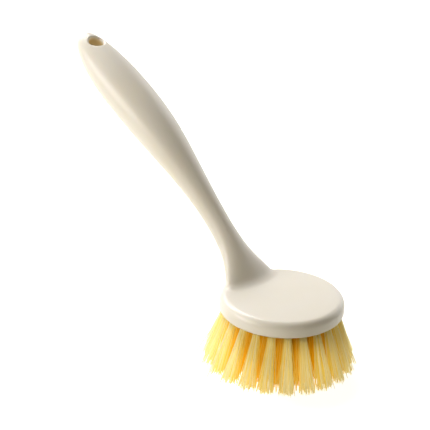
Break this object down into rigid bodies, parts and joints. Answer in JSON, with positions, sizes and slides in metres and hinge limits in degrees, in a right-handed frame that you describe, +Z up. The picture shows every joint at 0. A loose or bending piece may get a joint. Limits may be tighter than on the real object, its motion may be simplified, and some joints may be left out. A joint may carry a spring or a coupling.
{
  "type": "dish brush",
  "caption": "Round-headed dish brush with a bowed oval plastic handle, a hanging hole at its end and splayed yellow bristle tufts trimmed flat.",
  "frame": {"origin": "centre of the trimmed tips, below the middle of the head, on the plane the brush stands on", "axes": "+Z up along the head's axis, -X towards the end of the handle"},
  "size_m": [0.2205, 0.0916, 0.1542],
  "materials": {
    "ivory_plastic": "smooth glossy ivory moulding",
    "yellow_bristle": "stiff translucent yellow filaments",
    "anchor_metal": "bright flat wire"
  },
  "bodies": {
    "root": {"handle_and_head": "ivory_plastic", "outer_tuft_01": "yellow_bristle", "outer_tuft_02": "yellow_bristle", "outer_tuft_03": "yellow_bristle", "outer_tuft_04": "yellow_bristle", "outer_tuft_05": "yellow_bristle", "outer_tuft_06": "yellow_bristle", "outer_tuft_07": "yellow_bristle", "outer_tuft_08": "yellow_bristle", "outer_tuft_09": "yellow_bristle", "outer_tuft_10": "yellow_bristle", "outer_tuft_11": "yellow_bristle", "outer_tuft_12": "yellow_bristle", "outer_tuft_13": "yellow_bristle", "outer_tuft_14": "yellow_bristle", "outer_tuft_15": "yellow_bristle", "outer_tuft_16": "yellow_bristle", "outer_tuft_17": "yellow_bristle", "outer_tuft_18": "yellow_bristle", "outer_tuft_19": "yellow_bristle", "outer_tuft_20": "yellow_bristle", "outer_tuft_21": "yellow_bristle", "outer_tuft_22": "yellow_bristle", "second_tuft_01": "yellow_bristle", "second_tuft_02": "yellow_bristle", "second_tuft_03": "yellow_bristle", "second_tuft_04": "yellow_bristle", "second_tuft_05": "yellow_bristle", "second_tuft_06": "yellow_bristle", "second_tuft_07": "yellow_bristle", "second_tuft_08": "yellow_bristle", "second_tuft_09": "yellow_bristle", "second_tuft_10": "yellow_bristle", "second_tuft_11": "yellow_bristle", "second_tuft_12": "yellow_bristle", "second_tuft_13": "yellow_bristle", "second_tuft_14": "yellow_bristle", "second_tuft_15": "yellow_bristle", "second_tuft_16": "yellow_bristle", "third_tuft_01": "yellow_bristle", "third_tuft_02": "yellow_bristle", "third_tuft_03": "yellow_bristle", "third_tuft_04": "yellow_bristle", "third_tuft_05": "yellow_bristle", "third_tuft_06": "yellow_bristle", "third_tuft_07": "yellow_bristle", "third_tuft_08": "yellow_bristle", "third_tuft_09": "yellow_bristle", "third_tuft_10": "yellow_bristle", "third_tuft_11": "yellow_bristle", "inner_tuft_01": "yellow_bristle", "inner_tuft_02": "yellow_bristle", "inner_tuft_03": "yellow_bristle", "inner_tuft_04": "yellow_bristle", "inner_tuft_05": "yellow_bristle", "inner_tuft_06": "yellow_bristle", "centre_tuft": "yellow_bristle", "anchor_staples": "anchor_metal"}
  },
  "joints": []
}
